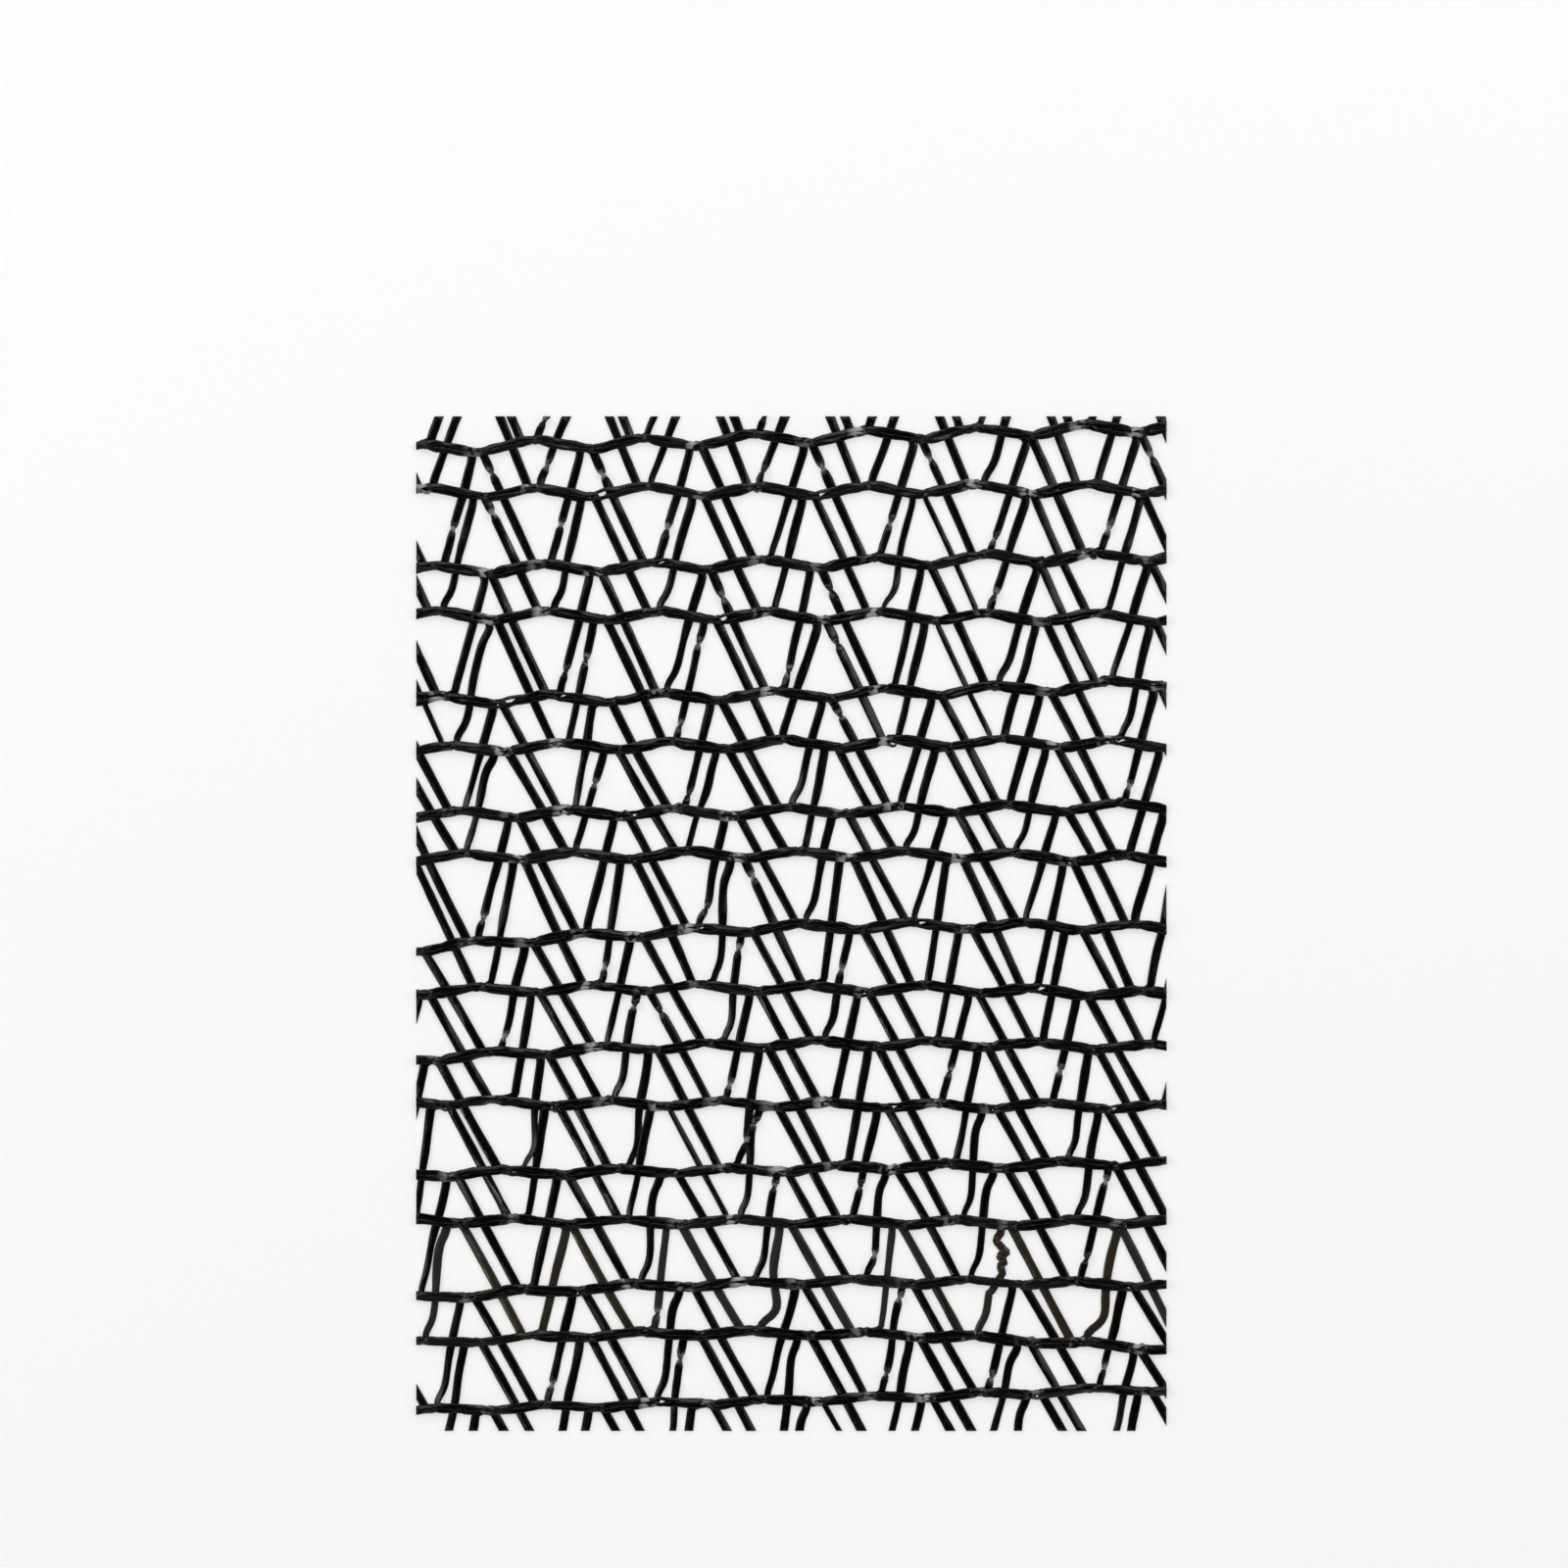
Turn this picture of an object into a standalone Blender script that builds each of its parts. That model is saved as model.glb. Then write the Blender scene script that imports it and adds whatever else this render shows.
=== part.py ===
"""A cut length of knitted shade net, lying flat.

The net is one piece: seventeen chains of looped tape run across it (along X), and slack
inlay tapes zigzag between them, each one reaching down over two gaps. The solid is a flat
plate of the cut size with every real gap between the tapes cut out of it, so the chains and
the inlays stay behind as bars that are joined where the knit holds them together.

Metres, +Z up. The net lies on z = 0, with the origin under the middle of the cut piece.
"""
import math

import bmesh
import bpy
from mathutils import Vector

# Driving dimensions, in metres
PITCH = 0.0127           # from chain to chain: a knit of two needles to the inch
CHAINS = 17
WIDTH = 0.158            # cut length along the chains
HEIGHT = 0.2137          # cut length across the chains
THICKNESS = 0.002
CHAIN_WIDTH = 0.0025
INLAY_WIDTH = 0.0019
PERIOD = 0.0232          # one zigzag of an inlay, which is two stitches of a chain
TURN = 0.48              # where an inlay turns back up, as a share of PERIOD
TURN_RUN = 0.0021        # how far an inlay lies along the chain that turns it

# How far the taut knit is from a regular grid
TOP_MARGIN = 0.0035      # from the top cut edge to the first chain
SAG = 0.0028             # how far the middle chains lie below even spacing
RISE = 0.0031            # how much the first and last chains climb from left to right
PAIRING = 0.0011         # even chains lie this much low and odd ones high at the top middle
PAIRING_ACROSS = -0.0016 # change of PAIRING over the width
PAIRING_DOWN = -0.0007   # change of PAIRING from the first chain to the last
WAVE = 0.001             # a chain dips under a pair of falling tapes and lifts over a turn
FIRST_APEX = -0.0657     # an upper turn of the first chain's inlay
LEAN = 0.0253            # how far the turns have moved along by the last chain
LEAN_POWER = 1.25
UNEVEN_AT = 0.4          # the sides named below, as a share of the width from the middle
UNEVEN = {               # chain: how high it lies at its left, middle and right
    4: (-0.0015, -0.0015, -0.0005),
    5: (-0.0020, -0.0005, 0.0000),
    7: (0.0010, 0.0020, 0.0020),
    8: (-0.0015, 0.0010, 0.0005),
    9: (-0.0015, -0.0005, -0.0010),
    10: (0.0000, 0.0015, 0.0005),
    14: (-0.0005, 0.0005, -0.0010),
    15: (0.0000, 0.0010, -0.0015),
}

REACH = 2                # an inlay spans this many gaps
PERIODS = range(-3, 8)   # the zigzags that fall on the cut piece, and one more each way
SMALLEST_GAP = 8e-6      # square metres: smaller notches at the cut edges stay filled
NARROWEST_GAP = 0.0019   # two tapes closer together than this make one bar
EDGE_WALL = 0.0006       # a gap that does not pass a cut edge by this leaves a wall of it
CUT_OVERRUN = 0.001      # how far a cutter passes both faces

SQUARE = ((-1, -1), (1, -1), (1, 1), (-1, 1))


def unevenness(chain, across):
    """How far a chain lies above its regular place, on a curve through its three sizes."""
    left, middle, right = UNEVEN.get(chain, (0, 0, 0))
    aside = across / UNEVEN_AT
    return middle + (right - left) / 2 * aside + ((right + left) / 2 - middle) * aside ** 2


def chain_height(chain, x):
    """The height of a chain's middle line over the cut piece, without its waves."""
    down = chain / (CHAINS - 1)
    across = x / WIDTH
    even_row = HEIGHT / 2 - TOP_MARGIN - PITCH * chain - SAG * math.sin(math.pi * down)
    pairing = PAIRING + PAIRING_ACROSS * across + PAIRING_DOWN * down
    paired = -pairing if chain % 2 == 0 else pairing
    climb = RISE * across * (2 * down - 1) ** 2
    return even_row + paired + climb + unevenness(chain, across)


def knot(chain, period, share, lift):
    """A point on a chain, share of a period past the upper turn, lifted from its middle line."""
    lean = LEAN * max(chain / (CHAINS - 1), 0) ** LEAN_POWER
    x = FIRST_APEX + lean + PERIOD * (period + share)
    return Vector((x, chain_height(chain, x) + lift))


def upper_turn(chain, period):
    return knot(chain, period, 0, -WAVE)


def lower_turn(chain, period):
    return knot(chain, period, TURN, WAVE)


def falling(inlay, period):
    """The taut half of an inlay's zigzag, from the chain it belongs to down to the turn."""
    run = Vector((TURN_RUN / 2, 0))
    return upper_turn(inlay, period) + run, lower_turn(inlay + REACH, period) - run


def rising(inlay, period):
    """The slack half, from the lower turn back up to the inlay's own chain."""
    run = Vector((TURN_RUN / 2, 0))
    return lower_turn(inlay + REACH, period) + run, upper_turn(inlay, period + 1) - run


def up_slope(chain, period):
    return upper_turn(chain, period), lower_turn(chain, period)


def down_slope(chain, period):
    return lower_turn(chain, period), upper_turn(chain, period + 1)


def level(point):
    return point, point + Vector((1, 0))


def back(line):
    return line[1], line[0]


def keep_left(corners, start, end):
    """The part of a convex outline that lies to the left of the line from start to end."""
    along = end - start
    kept = []
    for here, there in zip(corners, corners[1:] + corners[:1]):
        side_here = along.cross(here - start)
        side_there = along.cross(there - start)
        if side_here >= 0:
            kept.append(here)
        if side_here * side_there < 0:
            kept.append(here.lerp(there, side_here / (side_here - side_there)))
    return kept


def gap_outline(tapes, chains):
    """The convex gap inside bars whose middle lines run anticlockwise around it."""
    corners = [Vector(corner) for corner in SQUARE]
    bars = [(line, INLAY_WIDTH) for line in tapes] + [(line, CHAIN_WIDTH) for line in chains]
    for (start, end), width in bars:
        along = (end - start).normalized()
        inward = Vector((-along.y, along.x)) * width / 2
        corners = keep_left(corners, start + inward, end + inward)
    return corners


def gaps_below(chain, period):
    """The four gaps of one period between a chain and the next one down."""
    above, under = chain - 1, chain + 1
    falling_slit = gap_outline(
        [falling(chain, period), back(falling(above, period))],
        [back(up_slope(chain, period)), up_slope(under, period)])
    hanging_triangle = gap_outline(
        [falling(above, period), rising(above, period)],
        [back(up_slope(chain, period)), back(down_slope(chain, period)),
         level(lower_turn(under, period))])
    rising_slit = gap_outline(
        [back(rising(above, period)), rising(chain, period)],
        [back(down_slope(chain, period)), down_slope(under, period)])
    standing_triangle = gap_outline(
        [back(rising(chain, period)), back(falling(chain, period + 1))],
        [back(level(upper_turn(chain, period + 1))),
         down_slope(under, period), up_slope(under, period + 1)])
    return falling_slit, hanging_triangle, rising_slit, standing_triangle


def cut_piece(inset=0):
    """The corners of the cut piece, or of a rectangle a little way inside it."""
    return [Vector((x * (WIDTH / 2 - inset), y * (HEIGHT / 2 - inset))) for x, y in SQUARE]


def inside(corners, frame):
    """The part of an outline that lies in a convex frame."""
    for start, end in zip(frame, frame[1:] + frame[:1]):
        corners = keep_left(corners, start, end)
    return corners


def area(corners):
    return sum(a.cross(b) for a, b in zip(corners, corners[1:] + corners[:1])) / 2


def large_enough(corners):
    """Whether the part of a gap inside the cut edges is worth cutting."""
    shown = inside(corners, cut_piece())
    if area(shown) < SMALLEST_GAP:
        return False
    height = max(p.y for p in shown) - min(p.y for p in shown)
    return area(shown) / height > NARROWEST_GAP


def passes_cut_edge(corners):
    frame = cut_piece(-EDGE_WALL)[2]
    return any(abs(p.x) > frame.x or abs(p.y) > frame.y for p in corners)


def all_gaps():
    """The outline of every gap that is large enough, band by band from the top."""
    outlines = []
    for chain in range(-1, CHAINS):
        for period in PERIODS:
            for outline in gaps_below(chain, period):
                if not passes_cut_edge(outline):
                    outline = inside(outline, cut_piece(EDGE_WALL))
                if large_enough(outline):
                    outlines.append(outline)
    return outlines


def prisms(name, outlines, low, high):
    """One object holding an upright prism on each outline."""
    shape = bmesh.new()
    for outline in outlines:
        base = shape.faces.new([shape.verts.new((p.x, p.y, low)) for p in outline])
        swept = bmesh.ops.extrude_face_region(shape, geom=[base], use_keep_orig=True)
        top = [item for item in swept["geom"] if isinstance(item, bmesh.types.BMVert)]
        bmesh.ops.translate(shape, verts=top, vec=(0, 0, high - low))
    bmesh.ops.recalc_face_normals(shape, faces=shape.faces)
    mesh = bpy.data.meshes.new(name)
    shape.to_mesh(mesh)
    shape.free()
    made = bpy.data.objects.new(name, mesh)
    bpy.context.collection.objects.link(made)
    return made


def tape_material():
    """Black polyethylene tape, a little glossy."""
    material = bpy.data.materials.new("black_tape")
    material.use_nodes = True
    shader = material.node_tree.nodes["Principled BSDF"]
    shader.inputs["Base Color"].default_value = (0.012, 0.011, 0.011, 1)
    shader.inputs["Roughness"].default_value = 0.38
    shader.inputs["Metallic"].default_value = 0.0
    return material


def main():
    for item in list(bpy.data.objects):
        bpy.data.objects.remove(item)

    net = prisms("net", [cut_piece()], 0, THICKNESS)
    net.data.materials.append(tape_material())

    cutter = prisms("gap_cutter", all_gaps(), -CUT_OVERRUN, THICKNESS + CUT_OVERRUN)
    cutter.hide_render = True
    cutter.display_type = "WIRE"

    cut = net.modifiers.new("gaps", "BOOLEAN")
    cut.operation = "DIFFERENCE"
    cut.solver = "EXACT"
    cut.object = cutter


main()
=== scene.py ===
# %% [markdown]
# # A knitted shade net, cut to a small flat piece
#
# Shade net comes off a Raschel knitting machine that is fed with narrow black polyethylene
# tapes. Two kinds of tape make it. The first kind is looped, stitch after stitch, into long
# chains. The second kind is never looped: it is laid in, zigzagging from chain to chain, and
# the chains hold it. This lesson builds both kinds of tape one by one, in the order in which
# the knit needs them, so that every crossing has a tape above and a tape below.
#
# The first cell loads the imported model. It is the fixed frame: everything built here has to
# lie where that model lies.

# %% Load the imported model
import math

import bmesh
import bpy
import numpy as np
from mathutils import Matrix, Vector


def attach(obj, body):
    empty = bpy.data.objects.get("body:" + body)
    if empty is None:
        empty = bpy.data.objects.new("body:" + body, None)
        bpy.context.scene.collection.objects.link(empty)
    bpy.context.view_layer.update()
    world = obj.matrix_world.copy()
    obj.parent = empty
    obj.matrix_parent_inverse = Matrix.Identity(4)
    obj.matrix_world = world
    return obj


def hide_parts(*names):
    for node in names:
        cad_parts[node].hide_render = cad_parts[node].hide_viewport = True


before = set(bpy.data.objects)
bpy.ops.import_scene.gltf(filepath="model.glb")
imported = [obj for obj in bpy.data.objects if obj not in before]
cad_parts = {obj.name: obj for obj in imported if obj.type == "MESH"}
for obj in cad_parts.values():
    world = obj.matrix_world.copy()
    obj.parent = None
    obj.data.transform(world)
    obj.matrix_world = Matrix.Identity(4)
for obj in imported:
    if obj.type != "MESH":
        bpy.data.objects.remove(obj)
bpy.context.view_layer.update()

# %% [markdown]
# ## The layout of the knit
#
# A net looks irregular, but it starts from a regular plan. Chains lie one needle gap apart.
# A laid-in tape turns at every stitch, above and below by turns, and it reaches over two
# gaps. The plan is kept as named sizes and two functions: how high a chain lies at some
# place, and where its stitches are tied. Every piece below asks these functions for its
# place, so chains and laid-in tapes always meet.
#
# The alternative is a drawn map of points for each tape. That is slow to correct, because
# moving one chain means moving every tape that it holds.

# %% The sizes of the knit, in metres
PITCH = 0.0127              # from one chain to the next
CHAINS = 17
WIDTH = 0.158               # along the chains
HEIGHT = 0.2137             # across them
PERIOD = 0.0232             # one zigzag of a laid-in tape, which is two stitches
TURN = 0.48                 # the share of a period at which the lower turn comes
TURN_RUN = 0.0021           # the length of a turn
REACH = 2                   # the gaps that a laid-in tape reaches over

# How the piece departs from an even grid
TOP_MARGIN = 0.0035         # from the cut edge to the first chain
SAG = 0.0028                # the middle chain lies this much low
RISE = 0.0031               # the first and last chains climb this much from left to right
PAIRING = 0.0011            # neighbours lie together in pairs, each moved by this much
PAIRING_ACROSS = -0.0016    # its change from left to right
PAIRING_DOWN = -0.0007      # and from the first chain to the last
WAVE = 0.00105              # a tie lies this far from the first chain's middle line
WAVE_DOWN = -0.0006         # the change of that to the last chain
FIRST_APEX = -0.0657        # x of the first chain's upper turn in period 0
LEAN = 0.0253               # the last chain's ties lie this much further right
LEAN_POWER = 1.25

# Chains that lie off their even place, in metres: chain: (left, middle, right). Left and
# right are this share of the width from the middle
UNEVEN_AT = 0.4
UNEVEN = {
    4: (-0.0015, -0.0015, -0.0005),
    5: (-0.0020, -0.0005, 0.0000),
    7: (0.0010, 0.0020, 0.0020),
    8: (-0.0015, 0.0010, 0.0005),
    9: (-0.0015, -0.0005, -0.0010),
    10: (0.0000, 0.0015, 0.0005),
    14: (-0.0005, 0.0005, -0.0010),
    15: (0.0000, 0.0010, -0.0015),
}


def unevenness(chain, across):
    """How far a chain lies above its regular place."""
    left, middle, right = UNEVEN.get(chain, (0, 0, 0))
    aside = across / UNEVEN_AT
    return middle + (right - left) / 2 * aside + ((right + left) / 2 - middle) * aside ** 2


def chain_height(chain, x):
    """The height of a chain's middle line, without its waves."""
    down = chain / (CHAINS - 1)
    across = x / WIDTH
    even_row = HEIGHT / 2 - TOP_MARGIN - PITCH * chain - SAG * math.sin(math.pi * down)
    pairing = PAIRING + PAIRING_ACROSS * across + PAIRING_DOWN * down
    paired = -pairing if chain % 2 == 0 else pairing
    climb = RISE * across * (2 * down - 1) ** 2
    return even_row + paired + climb + unevenness(chain, across)


def tie(chain, half_period):
    """Where a chain's stitches are tied. Even half periods are upper turns, odd ones lower."""
    period, lower = divmod(half_period, 2)
    lean = LEAN * max(chain / (CHAINS - 1), 0) ** LEAN_POWER
    x = FIRST_APEX + lean + PERIOD * (period + (TURN if lower else 0))
    wave = WAVE + WAVE_DOWN * chain / (CHAINS - 1)
    return Vector((x, chain_height(chain, x) + (wave if lower else -wave)))


# Enough half periods to reach past both sides of the piece on every chain
HALF_PERIODS = range(-6, 15)
print("chain 0 is first tied at", [round(v, 4) for v in tie(0, HALF_PERIODS.start)])

# %% [markdown]
# ## The camera
#
# The net is seen from straight above. A long lens far away keeps the tapes from leaning
# outwards at the edges of the view, much as a flatbed view would, and it is still a real
# perspective lens, so other views can be taken from it.

# %% Camera
VIEW_WIDTH = 0.3304         # metres of floor across the view
VIEW_CENTRE = Vector((-0.00155, 0.0294, 0))
LENS = 100                  # millimetres, as is the sensor
SENSOR = 36

camera_data = bpy.data.cameras.new("camera")
camera_data.lens = LENS
camera_data.sensor_width = SENSOR
camera = bpy.data.objects.new("camera", camera_data)
bpy.context.scene.collection.objects.link(camera)
camera.location = VIEW_CENTRE + Vector((0, 0, VIEW_WIDTH * LENS / SENSOR))
bpy.context.scene.camera = camera
print("camera height:", round(camera.location.z, 3), "m")

# %% [markdown]
# ## A tape as a swept section
#
# A polyethylene tape for netting is a thin flat film, wider before it is knitted than after.
# Drawn into the knit it folds on itself into a soft bundle with one or two lengthwise
# creases. So its section isn't a rectangle: it is a flat bean.
#
# Blender could make it with a curve and a bevel object. A curve has one bevel size and one
# tilt per point, and the bundle needs a separate width, thickness, roll and crease at each
# point, so the sweep is written out here. A path is a table with one row per station along
# the tape, and each row becomes one ring of vertices.

# %% Columns of a path, and the section of a tape
# The last column is the strength of the painted glint: pale specks that stand in for highlights
X, Y, Z, BREADTH, DEPTH, ROLL, TINT, HELD, PAINTED_SHEEN = range(9)

# across and up, as shares of half the breadth and half the depth
TOP_LEFT, TOP_CREASE, TOP_RIGHT = (-0.78, 0.92), (-0.06, 0.60), (0.74, 1.0)
LOW_LEFT, LOW_CREASE, LOW_RIGHT = (-0.74, -0.9), (0.04, -0.66), (0.80, -0.82)
RIGHT_EDGE, LEFT_EDGE = (1.0, 0.06), (-1.0, -0.04)
SECTION = np.array([RIGHT_EDGE, TOP_RIGHT, TOP_CREASE, TOP_LEFT,
                    LEFT_EDGE, LOW_LEFT, LOW_CREASE, LOW_RIGHT])
RING = len(SECTION)
# Where the two creases are in that list, and how far they may wander, as a share of half
# the breadth
TOP_CREASE_AT, LOW_CREASE_AT = 2, 6
CREASE_WANDER = 0.4
# Each random wander is smoothed over this many stations
CREASE_SMOOTHED = 7
ROUGH_SMOOTHED = 5
MOST_ROUGH = 2              # standard deviations, beyond which it is cut off
TINY = 1e-6                 # keeps two stations in the same place from dividing by zero
# Each tape starts at its own place on the finish, somewhere in this many metres
FINISH_LENGTH = 10


def unit(vectors):
    return vectors / np.maximum(np.linalg.norm(vectors, axis=-1, keepdims=True), 1e-12)


def smooth_path(rows, step, most_turn):
    """A curve through the rows, with stations closer together where the tape bends or twists."""
    rows = np.array(rows, float)
    reach = np.maximum(np.linalg.norm(np.diff(rows[:, :3], axis=0), axis=1), TINY)
    slope = np.gradient(rows, np.concatenate(([0], np.cumsum(reach))), axis=0)
    stations = []
    for i, length in enumerate(reach):
        heading = unit(slope[i:i + 2, :3])
        bend = math.acos(np.clip(heading[0] @ heading[1], -1, 1))
        twist = abs(rows[i + 1, ROLL] - rows[i, ROLL])
        count = max(1, round(length / step), math.ceil(max(bend, twist) / most_turn))
        for t in np.arange(count) / count:
            stations.append(
                (2 * t ** 3 - 3 * t ** 2 + 1) * rows[i]
                + (t ** 3 - 2 * t ** 2 + t) * length * slope[i]
                + (3 * t ** 2 - 2 * t ** 3) * rows[i + 1]
                + (t ** 3 - t ** 2) * length * slope[i + 1])
    stations.append(rows[-1])
    return np.array(stations)


def smoothed_noise(rng, count, over):
    return np.convolve(rng.normal(size=count), np.ones(over) / over, mode="same")


def roughen(path, rng, breadth, roll):
    """Small, slow changes of breadth and roll, as drawn and folded film has."""
    for column, size in ((BREADTH, breadth), (ROLL, roll)):
        slow = smoothed_noise(rng, len(path), ROUGH_SMOOTHED) * ROUGH_SMOOTHED ** 0.5
        change = np.clip(slow, -MOST_ROUGH, MOST_ROUGH) * size
        if column == BREADTH:
            path[:, column] *= 1 + change
        else:
            path[:, column] += change
    return path


# %% The sweep itself
class TapeMesh:
    """Gathers many swept tapes into the arrays of one mesh."""

    def __init__(self):
        self.points = []
        self.faces = []
        self.values = {"along": [], "across": [], "tint": [], "held": [], "painted_sheen": []}
        self.count = 0

    def add(self, path, rng):
        heading = unit(np.gradient(path[:, :3], axis=0))
        level = unit(np.cross((0, 0, 1), heading))
        upright = np.cross(heading, level)
        turn = path[:, ROLL, None]
        side = np.cos(turn) * level + np.sin(turn) * upright
        face = np.cos(turn) * upright - np.sin(turn) * level

        section = np.repeat(SECTION[None], len(path), axis=0)
        crease = smoothed_noise(rng, len(path), CREASE_SMOOTHED)
        crease = np.clip(crease, -CREASE_WANDER, CREASE_WANDER)
        section[:, TOP_CREASE_AT, 0] += crease
        section[:, LOW_CREASE_AT, 0] -= crease
        rings = (path[:, None, :3]
                 + side[:, None] * section[..., :1] * path[:, BREADTH, None, None] / 2
                 + face[:, None] * section[..., 1:] * path[:, DEPTH, None, None] / 2)

        start = self.count
        self.points.append(rings.reshape(-1, 3))
        around = np.arange(RING)
        following = (around + 1) % RING
        for ring in range(len(path) - 1):
            near = start + ring * RING
            far = near + RING
            quads = np.stack((near + around, near + following, far + following, far + around), 1)
            self.faces += quads.tolist()
        last = start + (len(path) - 1) * RING
        self.faces.append([start + i for i in reversed(range(RING))])
        self.faces.append([last + i for i in range(RING)])

        lengths = np.linalg.norm(np.diff(path[:, :3], axis=0), axis=1)
        run = np.concatenate(([0], np.cumsum(lengths)))
        self.values["along"].append(np.repeat(run + rng.uniform(0, FINISH_LENGTH), RING))
        self.values["across"].append(np.tile(SECTION[:, 0], len(path)))
        self.values["tint"].append(np.repeat(path[:, TINT], RING))
        self.values["held"].append(np.repeat(path[:, HELD], RING))
        # the strength of the painted glint, pale specks that stand in for highlights
        self.values["painted_sheen"].append(np.repeat(np.clip(path[:, PAINTED_SHEEN], 0, 1), RING))
        self.count += len(path) * RING

    def mesh(self, name):
        made = bpy.data.meshes.new(name)
        made.from_pydata(np.concatenate(self.points).tolist(), [], self.faces)
        for key, parts in self.values.items():
            layer = made.attributes.new(key, "FLOAT", "POINT")
            layer.data.foreach_set("value", np.concatenate(parts).astype(np.float32))
        return made


print("a ring has", RING, "points")

# %% [markdown]
# ## Cutting the piece out of the roll
#
# The real piece is cut from a long roll, so every tape that meets a cut edge simply ends
# there. The tapes are therefore made a little too long and cut along four straight planes,
# as a blade does it. Each cut end is closed with a face, which keeps every tape a closed
# body. Offcuts that no chain holds would fall out of a real net, so they are dropped here.

# %% Cut, close and drop what nothing holds
CUT_SIDES = ((1, 0), (-1, 0), (0, 1), (0, -1))
HELD_FROM = 0.5             # held is stored as 1 where a chain holds a tape, and else as 0


def cut_to_size(mesh):
    shape = bmesh.new()
    shape.from_mesh(mesh)
    for x, y in CUT_SIDES:
        everything = shape.verts[:] + shape.edges[:] + shape.faces[:]
        bmesh.ops.bisect_plane(shape, geom=everything, clear_outer=True,
                               plane_co=(x * WIDTH / 2, y * HEIGHT / 2, 0), plane_no=(x, y, 0))
        rim = [edge for edge in shape.edges if edge.is_boundary]
        bmesh.ops.holes_fill(shape, edges=rim, sides=0)
    drop_loose(shape)
    for face in shape.faces:
        face.smooth = True
    shape.to_mesh(mesh)
    shape.free()


def drop_loose(shape):
    """Remove each separate tape of which no part is held in a chain."""
    held = shape.verts.layers.float["held"]
    seen = set()
    loose = []
    for first in shape.verts:
        if first in seen:
            continue
        tape = [first]
        seen.add(first)
        for vertex in tape:
            for edge in vertex.link_edges:
                other = edge.other_vert(vertex)
                if other not in seen:
                    seen.add(other)
                    tape.append(other)
        if max(vertex[held] for vertex in tape) < HELD_FROM:
            loose += tape
    bmesh.ops.delete(shape, geom=loose, context="VERTS")


def tape_object(name, tapes):
    mesh = tapes.mesh(name)
    cut_to_size(mesh)
    made = bpy.data.objects.new(name, mesh)
    bpy.context.scene.collection.objects.link(made)
    return made


# %% [markdown]
# ## The chains
#
# A chain is one tape. At each stitch it comes up through the loop before, runs forward,
# turns round as the head of its own loop, runs back beside itself, goes down through the
# loop before again and passes underneath to the next stitch. So between two ties a chain
# shows two runs side by side over a third, and at each tie the tapes crowd together and
# stand on edge. That is why the chain is broad between the ties and narrow at them.
#
# One stitch is written as a table of stations. Most of them are measured from a tie, and
# those on the long runs as shares of the stitch. The second run is the first one mirrored,
# in reverse order.

# %% One stitch of a chain
MM = 0.001
DEGREE = math.pi / 180

# Stations of the forward run, in millimetres and degrees:
# share of the stitch, along, aside, height, breadth, depth, roll
FORWARD_RUN = (
    (0, -0.35, 0.34, 0.34, 0.95, 0.34, -26),
    (0, 0.10, 0.44, 0.66, 1.00, 0.36, -32),
    (0, 0.60, 0.53, 1.04, 1.04, 0.36, -28),
    (0, 1.30, 0.57, 1.20, 1.08, 0.34, -20),
    (0.20, 0, 0.58, 1.10, 1.12, 0.30, -13),
    (0.45, 0, 0.60, 1.02, 1.14, 0.29, -10),
    (0.70, 0, 0.60, 0.98, 1.14, 0.29, -12),
    (1, -1.70, 0.60, 0.94, 1.10, 0.31, -20),
    (1, -0.70, 0.62, 0.86, 1.02, 0.34, -34),
    (1, 0.20, 0.66, 0.78, 0.92, 0.38, -52),
    (1, 0.80, 0.56, 0.74, 0.84, 0.38, -74),
    (1, 1.10, 0.00, 0.72, 0.78, 0.38, -90),
)
# The ties of the first chain are drawn together by this share, the last chain's not at all
TIGHTEST = 0.20
# and its runs lie this much further apart than the middle chain's
FULLER_TOP = 0.07

# Stations underneath, from this tie to the next, in the same columns
UNDER_RUN = (
    (0, 0.90, 0.02, 0.20, 1.10, 0.24, -8),
    (0.35, 0, 0.08, 0.17, 1.50, 0.22, 0),
    (0.65, 0, 0.05, 0.17, 1.50, 0.22, 4),
    (1, -1.20, 0.02, 0.20, 1.10, 0.26, -6),
)

# From tie to tie a chain is this part straight and this part rounded
STRAIGHT, ROUNDED = 0.55, 0.45


def middle_line(ties, x):
    """The height of a chain at x: nearly straight from tie to tie, with soft corners."""
    for start, end in zip(ties, ties[1:]):
        if start.x <= x <= end.x:
            t = (x - start.x) / (end.x - start.x)
            soft = t * t * (3 - 2 * t)
            return start.y + (end.y - start.y) * (STRAIGHT * t + ROUNDED * soft)
    return ties[0].y if x < ties[0].x else ties[-1].y


def chain_ties(chain):
    return [tie(chain, h) for h in HALF_PERIODS]


# How much stitches differ, as one standard deviation: of the distance between the runs as a
# share, then of the whole stitch and of each station in millimetres and degrees
FULLNESS_SPREAD = 0.10
ASIDE_SPREAD, LIFT_SPREAD = 0.13, 0.03
STATION_ASIDE_SPREAD, STATION_ROLL_SPREAD = 0.07, 7

# A share of the heads sticks out on one side, and a share of the stitches gapes at its foot
LOOSE_HEADS, LOOSE_WIDER, LOOSE_LIFT = 0.2, 1.5, 0.3
OPENED_STITCHES, OPENED_UP_TO = 0.08, 0.3
OPENED_WIDER, OPENED_NARROWER, OPENED_UNDER = 1.3, 0.68, -0.75

# How bright a tie's painted glint can be (pale specks of painted highlight, partly film whitened by
# the pinch), how often, and the share of it past the tie
SHINES, HOW_OFTEN = (0, 0.4, 1.0), (0.5, 0.25, 0.25)
SHEEN_PAST_TIE = 0.5


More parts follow.
